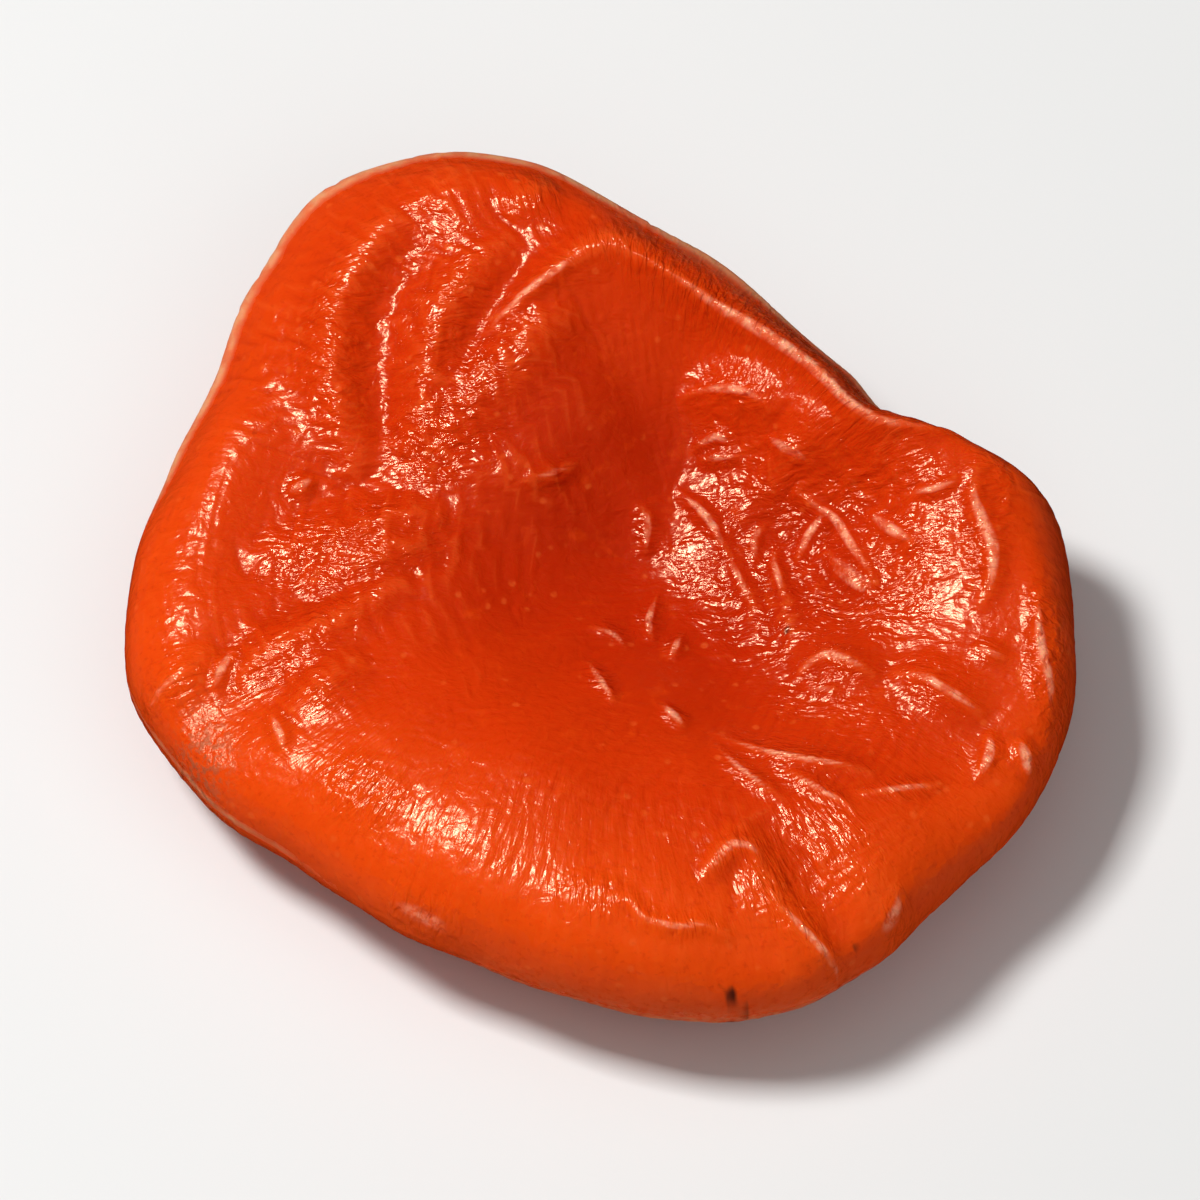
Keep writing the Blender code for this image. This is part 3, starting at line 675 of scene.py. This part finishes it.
def marks(points, quads, degrees, t, plan):
    """What the finish needs to know at each point, 0 to 1, by attribute name."""
    side, _ = neighbour_tables(len(points), quads)
    out = outward(points, quads)
    fine = ((points - relaxed(points, side, FINE_ROUNDS)) * out).sum(1)
    broad = ((points - relaxed(points, side, BROAD_ROUNDS)) * out).sum(1)
    on_top = ramp(*ON_TOP, t)
    front = 0.5 + 0.5 * np.cos(np.radians(degrees - ROLL_TURN))
    outside = ramp(0.27, 0.40, t)
    back = ramp(10, 24, degrees) * ramp(98, 78, degrees)
    specks = np.zeros(len(t))
    for x, y, reach, strength in SPECKS:
        specks = np.maximum(specks, strength * bell(np.hypot(plan[:, 0] - x, plan[:, 1] - y), reach))
    # Painted highlight: a pale line along each fine fold, kept under the name crest.
    crest = np.zeros(len(t))
    for width, height, line in FINE_FOLDS:
        on_line = fold(plan[:, 0], plan[:, 1], PAINTED_HIGHLIGHT_REACH * width, 1.0, line)
        crest = np.maximum(crest, min(height / FULL_PAINTED_HIGHLIGHT, 1.0) * on_line * on_top)
    crinkle = np.full(len(t), CRINKLE_REST)
    for width, height, line in FOLDS:
        if height > 0:
            reach = max(CRINKLE_REACH * width, LEAST_CRINKLE_REACH)
            crinkle = np.maximum(crinkle, fold(plan[:, 0], plan[:, 1], reach, 1.0, line) * on_top)
    for *place, strength in CRINKLED:
        crinkle = np.maximum(crinkle, strength * patch(plan, place) * on_top)
    scuff = bell(np.hypot((plan[:, 0] - SCUFF[0]) / SCUFF[2], (plan[:, 1] - SCUFF[1]) / SCUFF[3]), 1.0)
    # The painted rim highlight, a pale line on the left edge, joins the lip's mark below.
    painted_rim_highlight = PAINTED_RIM_HIGHLIGHT * bell(t - PAINTED_RIM_HIGHLIGHT_AT, PAINTED_RIM_HIGHLIGHT_WIDTH) * bell(degrees - PAINTED_RIM_HIGHLIGHT_TURN, PAINTED_RIM_HIGHLIGHT_REACH)
    return {
        # ridge and swell are fine and broad bulges: the finish paints ridge tops lighter as painted highlight,
        # creases darker as painted shade, and swell tops warmer and lighter as painted light.
        "ridge": np.clip(0.5 + fine / FINE_HEIGHT, 0, 1),
        "swell": np.clip(0.5 + broad / BROAD_HEIGHT, 0, 1),
        # roll: partly the roll's own warmer tone, partly painted light on the roll that faces the light.
        "roll": outside * (0.25 + 0.75 * front),
        # basin: the hollow, which the finish paints darker as painted shade.
        "basin": ramp(0.26, 0.10, t),
        # lip: the dry lip along the back edge, together with the painted rim highlight on the left edge.
        "lip": np.maximum(lip(degrees, t), painted_rim_highlight),
        # The back flank, painted browner and darker: painted sheen and shade.
        "back_flank_sheen_shade": back * ramp(0.33, 0.38, t) * ramp(0.52, 0.44, t),
        "speck": specks * ramp(*OFF_UNDERSIDE, t),
        "scuff": scuff * ramp(*OFF_UNDERSIDE, t),
        "lobe": patch(plan, LOBE_PATCH) * ramp(0.50, 0.42, t),
        "left": patch(plan, LEFT_PATCH) * ramp(0.50, 0.42, t),
        "edge": ramp(0.24, 0.31, t) * ramp(0.70, 0.55, t),
        "crinkle": crinkle,
        # crest: the painted highlight lines on fine folds.
        "crest": crest,
        # under: the underside, which the finish paints darker in patches as painted shade.
        "under": ramp(0.50, 0.66, t),
        "worn": bell(t - 0.545, 0.035) * ramp(-112, -98, degrees) * ramp(-52, -66, degrees),
    }


class Wire:
    """One socket in a material. Arithmetic on it adds Math nodes, and node() adds any other node."""

    def __init__(self, tree, socket=None):
        self.tree = tree
        self.socket = socket

    def node(self, kind, settings, sockets, output=0):
        """A new node: its settings first, then the values or links of its sockets."""
        made = self.tree.nodes.new(kind)
        for name, value in settings.items():
            setattr(made, name, value)
        for name, value in sockets.items():
            if isinstance(value, Wire):
                self.tree.links.new(value.socket, made.inputs[name])
            else:
                made.inputs[name].default_value = value
        return Wire(self.tree, made.outputs[output])

    def math(self, operation, *values):
        return self.node("ShaderNodeMath", {"operation": operation}, dict(enumerate(values)))

    def __add__(self, other):
        return self.math("ADD", self, other)

    def __sub__(self, other):
        return self.math("SUBTRACT", self, other)

    def __rsub__(self, other):
        return self.math("SUBTRACT", other, self)

    def __mul__(self, other):
        return self.math("MULTIPLY", self, other)

    __radd__ = __add__
    __rmul__ = __mul__

    def between(self, low, high):
        """0 at low, 1 at high, soft in between."""
        return self.node("ShaderNodeMapRange", {"interpolation_type": "SMOOTHSTEP"},
                         {"Value": self, "From Min": low, "From Max": high})

    def mixed(self, first, second):
        """The first colour where this is 0, the second where it is 1."""
        return self.node("ShaderNodeMix", {"data_type": "RGBA"}, {0: self, 6: first, 7: second}, 2)

    def attribute(self, name):
        return self.node("ShaderNodeAttribute", {"attribute_name": name}, {}, "Fac")

    def crossed(self, place, turn):
        """Noise drawn out at right angles to folds that run at this turn, in degrees."""
        turned = self.node("ShaderNodeMapping", {}, {
            "Vector": place, "Rotation": (0.0, 0.0, math.radians(turn)), "Scale": GRAIN_SCALE})
        return self.noise(turned, 1.0, 2.0, 0.55)

    def noise(self, place, scale, detail=2.0, roughness=0.5, distortion=0.0):
        return self.node("ShaderNodeTexNoise", {}, {
            "Vector": place, "Scale": scale, "Detail": detail, "Roughness": roughness, "Distortion": distortion})


def rgba(colour):
    """The colour with full opacity, as the sockets take it."""
    return (colour[0], colour[1], colour[2], 1.0)


def skin_material(look):
    """Glossy, deep orange dried skin with paler crests and ridges as painted highlights, painted shade in the hollow,
    creases and underneath, a warmer roll partly in painted light, a dry lip with a painted rim highlight on the left
    edge, dust with painted sheen and shade on the back flank, and dark specks.
    """
    material = bpy.data.materials.new("dried_apricot_skin")
    material.use_nodes = True
    tree = material.node_tree
    shader = tree.nodes["Principled BSDF"]
    w = Wire(tree)
    place = w.node("ShaderNodeTexCoord", {}, {}, "Object")
    mm = w.node("ShaderNodeVectorMath", {"operation": "SCALE"}, {0: place, "Scale": 1 / MM})

    ridge, swell, roll, basin, lip_and_rim_highlight, back_flank_sheen_shade, speck, scuff, lobe, left, edge, crinkle, crest, under, worn = (
        w.attribute(name) for name in (
            "ridge", "swell", "roll", "basin", "lip", "back_flank_sheen_shade", "speck", "scuff", "lobe", "left", "edge",
            "crinkle", "crest", "under", "worn"))
    wrap = w.node("ShaderNodeAttribute", {"attribute_name": "wrap"}, {}, "Vector")

    # Patterns, from broad to fine.
    cloud = w.noise(mm, 0.16, 3.0, 0.55, 0.4)
    mottle = w.noise(mm, 0.75, 4.0, 0.6, 0.3)
    grain = w.noise(mm, 3.2, 3.0, 0.6)
    dots = w.node("ShaderNodeTexVoronoi", {"feature": "F1"}, {"Vector": mm, "Scale": 1.15, "Randomness": 1.0})
    dot_pick = w.noise(mm, 0.9, 1.0)
    dot = (1 - dots.between(0.10, 0.26)) * dot_pick.between(0.50, 0.62)

    # Colour: painted shade in the deep hollow, the roll's warmer tone with painted light, painted shade in creases
    # and painted highlights on ridges, mottling, painted shade underneath, painted highlight lines on fine folds, and
    # last the dry lip with a painted rim highlight, wear, dust with painted sheen and shade, and dark specks.
    # Painted shade: the hollow is painted darker.
    colour = (basin * 0.75 * (0.55 + cloud * 0.9)).mixed(rgba(look.skin_colour), rgba(look.shade_and_deep_tone_colour))
    # The roll and the tops of broad swellings are painted warmer and lighter: partly their own warmer tone, partly
    # painted light.
    warm_tone_and_light = (roll * (0.55 + mottle * 0.5)) + (swell.between(0.52, 0.95) * 0.25)
    colour = warm_tone_and_light.mixed(colour, rgba(look.warm_tone_and_light_colour))
    # Painted shade: creases are painted darker.
    colour = ((1 - ridge.between(0.10, 0.50)) * 0.30).mixed(colour, rgba(look.shade_and_deep_tone_colour))
    # Painted highlight: the tops of fine ridges are painted lighter.
    colour = (ridge.between(0.58, 0.98) * (0.05 + mottle * 0.25)).mixed(colour, rgba(look.ridge_highlight_and_dot_colour))
    colour = (mottle.between(0.56, 0.74) * 0.28).mixed(colour, rgba(look.warm_tone_and_light_colour))
    colour = ((1 - grain.between(0.30, 0.44)) * 0.25).mixed(colour, rgba(look.shade_and_deep_tone_colour))
    colour = (dot * 0.35).mixed(colour, rgba(look.ridge_highlight_and_dot_colour))
    # Painted shade: the underside is painted darker in patches.
    colour = (under * 0.35 * cloud.between(0.35, 0.65)).mixed(colour, rgba(look.shade_and_deep_tone_colour))
    # Painted highlight: pale flecked lines along fine folds.
    highlight_flecks = w.noise(mm, 1.9, 3.0, 0.6, 0.3).between(0.40, 0.58)
    colour = (crest.between(0.45, 1.0) * (0.20 + highlight_flecks * 0.65)).mixed(colour, rgba(look.painted_highlight_colour))
    # The dry lip at the back, and the painted rim highlight on the left edge.
    dry = lip_and_rim_highlight.between(0.2, 0.85) * (0.40 + mottle.between(0.38, 0.60) * 0.5)
    colour = dry.mixed(colour, rgba(look.lip_wear_and_rim_highlight_colour))
    colour = (worn * grain.between(0.36, 0.58) * 0.8).mixed(colour, rgba(look.lip_wear_and_rim_highlight_colour))
    # Dust on the scuff, and painted sheen and shade on the back flank.
    dust_and_sheen_shade = back_flank_sheen_shade * mottle.between(0.36, 0.60) * 0.45 + scuff * grain.between(0.44, 0.62) * 0.8
    colour = dust_and_sheen_shade.mixed(colour, rgba(look.dust_and_sheen_shade_colour))
    colour = speck.between(0.3, 0.8).mixed(colour, rgba(look.speck_colour))
    tree.links.new(colour.socket, shader.inputs["Base Color"])

    # Roughness: glossiest where the skin is crinkled, dullest where there is dust, painted sheen and shade on the
    # back flank, wear, or the dry lip and the painted rim highlight.
    rough = (look.roughness - crinkle * 0.07 + (mottle - 0.5) * 0.16 + (dust_and_sheen_shade + worn) * 0.3 + lip_and_rim_highlight * 0.2
             + under * 0.08)
    tree.links.new(rough.socket, shader.inputs["Roughness"])

    # Height in mm: pebbles and rumples, pores, the grain across the folds, and dry crumbs.
    warp = w.node("ShaderNodeTexNoise", {}, {"Vector": mm, "Scale": 0.6, "Detail": 1.0}, "Color")
    bent = w.node("ShaderNodeVectorMath", {"operation": "MULTIPLY_ADD"}, {0: warp, 1: (0.9, 0.9, 0.9), 2: mm})
    pebble = w.noise(bent, 2.6, 0.0)
    rumple = w.noise(bent, 1.6, 3.0, 0.5, 0.8)
    pore = w.noise(mm, 7.0, 2.0, 0.5)
    lobe_grain = w.crossed(bent, LOBE_GRAIN)
    left_grain = w.crossed(bent, LEFT_GRAIN)
    edge_grain = w.noise(wrap, 1.0, 2.0, 0.55, 0.4)
    fan_grain = w.crossed(bent, FAN_GRAIN)
    plain_share = (1 - lobe) * (1 - left)
    grains = (lobe_grain * lobe + left_grain * left
              + (edge_grain * edge + fan_grain * (1 - edge)) * plain_share)
    height = (pebble * 0.03 + rumple * (0.035 + crinkle * 0.05) + pore * 0.008 + grains * crinkle * 0.28
              + (scuff + worn) * grain * 0.12) * look.grain_height
    bump = w.node("ShaderNodeBump", {}, {"Height": height, "Distance": MM, "Strength": 1.0}, "Normal")
    tree.links.new(bump.socket, shader.inputs["Normal"])

    shader.inputs["IOR"].default_value = 1.50
    shader.inputs["Specular Tint"].default_value = (1.0, 0.68, 0.44, 1.0)
    shader.inputs["Subsurface Weight"].default_value = 0.35
    shader.inputs["Subsurface Radius"].default_value = (1.0, 0.22, 0.06)
    shader.inputs["Subsurface Scale"].default_value = 1.4 * MM
    return material


class ApricotLook(bpy.types.PropertyGroup):
    """Sizes and colours of the fruit."""

    width: bpy.props.FloatProperty(
        name="Width", description="Length along X", default=FRUIT_WIDTH, unit="LENGTH", precision=4)
    wrinkles: bpy.props.FloatProperty(
        name="Wrinkles", description="How much the skin shrinks as it dries", default=1.0, min=0.0, max=1.5)
    grain_height: bpy.props.FloatProperty(
        name="Grain", description="Height of the finest grain", default=1.0, min=0.0, max=3.0)
    roughness: bpy.props.FloatProperty(
        name="Roughness", description="Roughness of the smooth skin", default=0.23, subtype="FACTOR",
        min=0.0, max=1.0)
    skin_colour: bpy.props.FloatVectorProperty(
        name="Skin", description="Most of the skin", default=(0.62, 0.034, 0.0015), subtype="COLOR", min=0, max=1)
    # Painted shade for the hollow, the creases and the underside, and the darker random grain.
    shade_and_deep_tone_colour: bpy.props.FloatVectorProperty(
        name="Hollow", description="The hollow and the creases", default=(0.45, 0.015, 0.001), subtype="COLOR",
        min=0, max=1)
    # The roll's warmer tone together with painted light, and the mottling.
    warm_tone_and_light_colour: bpy.props.FloatVectorProperty(
        name="Roll", description="The plump edges", default=(0.80, 0.072, 0.003), subtype="COLOR", min=0, max=1)
    # Painted highlight on fine ridges, and the colour of the dots.
    ridge_highlight_and_dot_colour: bpy.props.FloatVectorProperty(
        name="Ridges", description="Fine ridges and dots", default=(0.82, 0.13, 0.02), subtype="COLOR",
        min=0, max=1)
    # Painted highlight lines on fine folds.
    painted_highlight_colour: bpy.props.FloatVectorProperty(
        name="Crests", description="The pale lines on fine folds", default=(0.97, 0.40, 0.23), subtype="COLOR",
        min=0, max=1)
    # The dry lip and the wear, and the painted rim highlight on the left edge.
    lip_wear_and_rim_highlight_colour: bpy.props.FloatVectorProperty(
        name="Lip", description="The pale dry lip", default=(0.74, 0.32, 0.15), subtype="COLOR", min=0, max=1)
    # Dust on the scuff, and painted sheen and shade on the back flank.
    dust_and_sheen_shade_colour: bpy.props.FloatVectorProperty(
        name="Dust", description="The dull brown edge", default=(0.36, 0.085, 0.03), subtype="COLOR",
        min=0, max=1)
    speck_colour: bpy.props.FloatVectorProperty(
        name="Specks", description="Dark specks", default=(0.09, 0.012, 0.005), subtype="COLOR", min=0, max=1)


class StudioLook(bpy.types.PropertyGroup):
    """Floor, light and camera."""

    floor_colour: bpy.props.FloatVectorProperty(
        name="Floor", description="Colour of the floor", default=(0.74, 0.74, 0.73), subtype="COLOR", min=0, max=1)
    key_power: bpy.props.FloatProperty(name="Key", description="Power of the main light", default=2.15, min=0.0,
                                       unit="POWER")
    fill_power: bpy.props.FloatProperty(name="Fill", description="Power of each soft light", default=0.6, min=0.0,
                                        unit="POWER")
    sky: bpy.props.FloatProperty(name="Sky", description="Light from all round", default=0.08, min=0.0)
    elevation: bpy.props.FloatProperty(
        name="Camera height", description="Angle of the camera above the floor", default=math.radians(62.0),
        subtype="ANGLE", unit="ROTATION")
    view_width: bpy.props.FloatProperty(
        name="View width", description="Width of what the camera sees", default=0.0505, unit="LENGTH", precision=4)
    view_lift: bpy.props.FloatProperty(
        name="View lift", description="How far above the picture's middle the fruit's middle lies", default=0.00055,
        unit="LENGTH", precision=5)


class OBJECT_OT_dried_apricot(bpy.types.Operator):
    """Model the fruit's skin, dry it and finish it"""
    bl_idname = "object.dried_apricot"
    bl_label = "Dried Apricot"

    def execute(self, context):
        look = context.scene.apricot_look
        skin = grid_cube(PIECE)
        mesh = skin.data
        cube = np.empty(len(mesh.vertices) * 3, np.float32)
        mesh.vertices.foreach_get("co", cube)
        # The tangent spaces the grid evenly in angle before it is blown up to a ball.
        ball = np.tan(cube.reshape(-1, 3).astype(float) * math.pi / 4)
        ball /= np.linalg.norm(ball, axis=1)[:, None]
        quads = np.empty(len(mesh.loops), np.int32)
        mesh.loops.foreach_get("vertex_index", quads)
        quads = quads.reshape(-1, 4)

        points, degrees, t, plan = formed(ball, look.width / MM)
        points = wrinkled(points, quads, degrees, t, plan, look.wrinkles)
        mesh.vertices.foreach_set("co", (points * MM).astype(np.float32).ravel())
        for name, values in marks(points, quads, degrees, t, plan).items():
            attribute = mesh.attributes.new(name, "FLOAT", "POINT")
            attribute.data.foreach_set("value", values.astype(np.float32))
        turn = np.radians(degrees)
        wrap = np.stack([WRAP_RADIUS * np.cos(turn), WRAP_RADIUS * np.sin(turn), WRAP_LENGTH * t], -1)
        attribute = mesh.attributes.new("wrap", "FLOAT_VECTOR", "POINT")
        attribute.data.foreach_set("vector", wrap.astype(np.float32).ravel())
        mesh.update()
        bpy.ops.object.shade_smooth()
        mesh.materials.append(skin_material(look))
        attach(skin, "root")
        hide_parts(NODE)
        return {"FINISHED"}


def soft_light(name, place, size, power, target, seen_in_gloss):
    """A square area light that faces the target."""
    light = bpy.data.lights.new(name, "AREA")
    light.energy = power
    light.size = size
    lamp = bpy.data.objects.new(name, light)
    lamp.location = place
    lamp.rotation_mode = "QUATERNION"
    lamp.rotation_quaternion = (Vector(place) - target).to_track_quat("Z", "Y")
    lamp.visible_glossy = seen_in_gloss
    bpy.context.scene.collection.objects.link(lamp)


class OBJECT_OT_apricot_studio(bpy.types.Operator):
    """Lay a plain pale floor and set up soft light and the camera"""
    bl_idname = "object.apricot_studio"
    bl_label = "Studio"

    def execute(self, context):
        look = context.scene.studio_look
        bpy.ops.object.select_all(action="DESELECT")
        bpy.ops.mesh.primitive_plane_add(size=FLOOR_SIZE)
        floor = context.object
        floor.name = "studio_floor"
        floor_material = bpy.data.materials.new("studio_floor")
        floor_material.use_nodes = True
        shader = floor_material.node_tree.nodes["Principled BSDF"]
        shader.inputs["Base Color"].default_value = rgba(look.floor_colour)
        shader.inputs["Specular IOR Level"].default_value = 0.2
        w = Wire(floor_material.node_tree)
        place = w.node("ShaderNodeTexCoord", {}, {}, "Object")
        rough = 0.62 + 0.16 * w.noise(place, 9.0, 3.0)
        floor_material.node_tree.links.new(rough.socket, shader.inputs["Roughness"])
        floor.data.materials.append(floor_material)
        floor.visible_glossy = False

        target = Vector(AIM)
        soft_light("key", KEY_PLACE, KEY_SIZE, look.key_power, target, True)
        soft_light("overhead", OVERHEAD_PLACE, OVERHEAD_SIZE, OVERHEAD_SHARE * look.fill_power, target, False)
        soft_light("front", FRONT_PLACE, FRONT_SIZE, FRONT_SHARE * look.fill_power, target, False)

        world = bpy.data.worlds.new("studio")
        world.use_nodes = True
        background = world.node_tree.nodes["Background"]
        background.inputs["Color"].default_value = (1.0, 1.0, 1.0, 1.0)
        background.inputs["Strength"].default_value = look.sky
        world.cycles_visibility.glossy = False
        context.scene.world = world
        context.scene.view_settings.view_transform = "Standard"

        data = bpy.data.cameras.new("camera")
        data.sensor_width = FILM_WIDTH
        data.lens = FILM_WIDTH * CAMERA_DISTANCE / look.view_width
        data.clip_start = 0.01
        camera = bpy.data.objects.new("camera", data)
        back = Vector((0.0, -math.cos(look.elevation), math.sin(look.elevation)))
        up = Vector((0.0, math.sin(look.elevation), math.cos(look.elevation)))
        camera.location = target + back * CAMERA_DISTANCE - up * look.view_lift
        camera.rotation_mode = "QUATERNION"
        camera.rotation_quaternion = back.to_track_quat("Z", "Y")
        context.scene.collection.objects.link(camera)
        context.scene.camera = camera
        return {"FINISHED"}


class VIEW3D_PT_apricot(bpy.types.Panel):
    """The fruit's and the studio's settings"""
    bl_label = "Dried Apricot"
    bl_space_type = "VIEW_3D"
    bl_region_type = "UI"
    bl_category = "Apricot"

    def draw(self, context):
        for look, operator in ((context.scene.apricot_look, OBJECT_OT_dried_apricot),
                               (context.scene.studio_look, OBJECT_OT_apricot_studio)):
            box = self.layout.box()
            for name in look.__annotations__:
                box.prop(look, name)
            box.operator(operator.bl_idname)


CLASSES = (ApricotLook, StudioLook, OBJECT_OT_dried_apricot, OBJECT_OT_apricot_studio, VIEW3D_PT_apricot)


def register():
    for kind in CLASSES:
        bpy.utils.register_class(kind)
    bpy.types.Scene.apricot_look = bpy.props.PointerProperty(type=ApricotLook)
    bpy.types.Scene.studio_look = bpy.props.PointerProperty(type=StudioLook)


def unregister():
    del bpy.types.Scene.studio_look
    del bpy.types.Scene.apricot_look
    for kind in reversed(CLASSES):
        bpy.utils.unregister_class(kind)


def main():
    register()
    bpy.ops.object.dried_apricot()
    bpy.ops.object.apricot_studio()


if __name__ == "__main__":
    main()
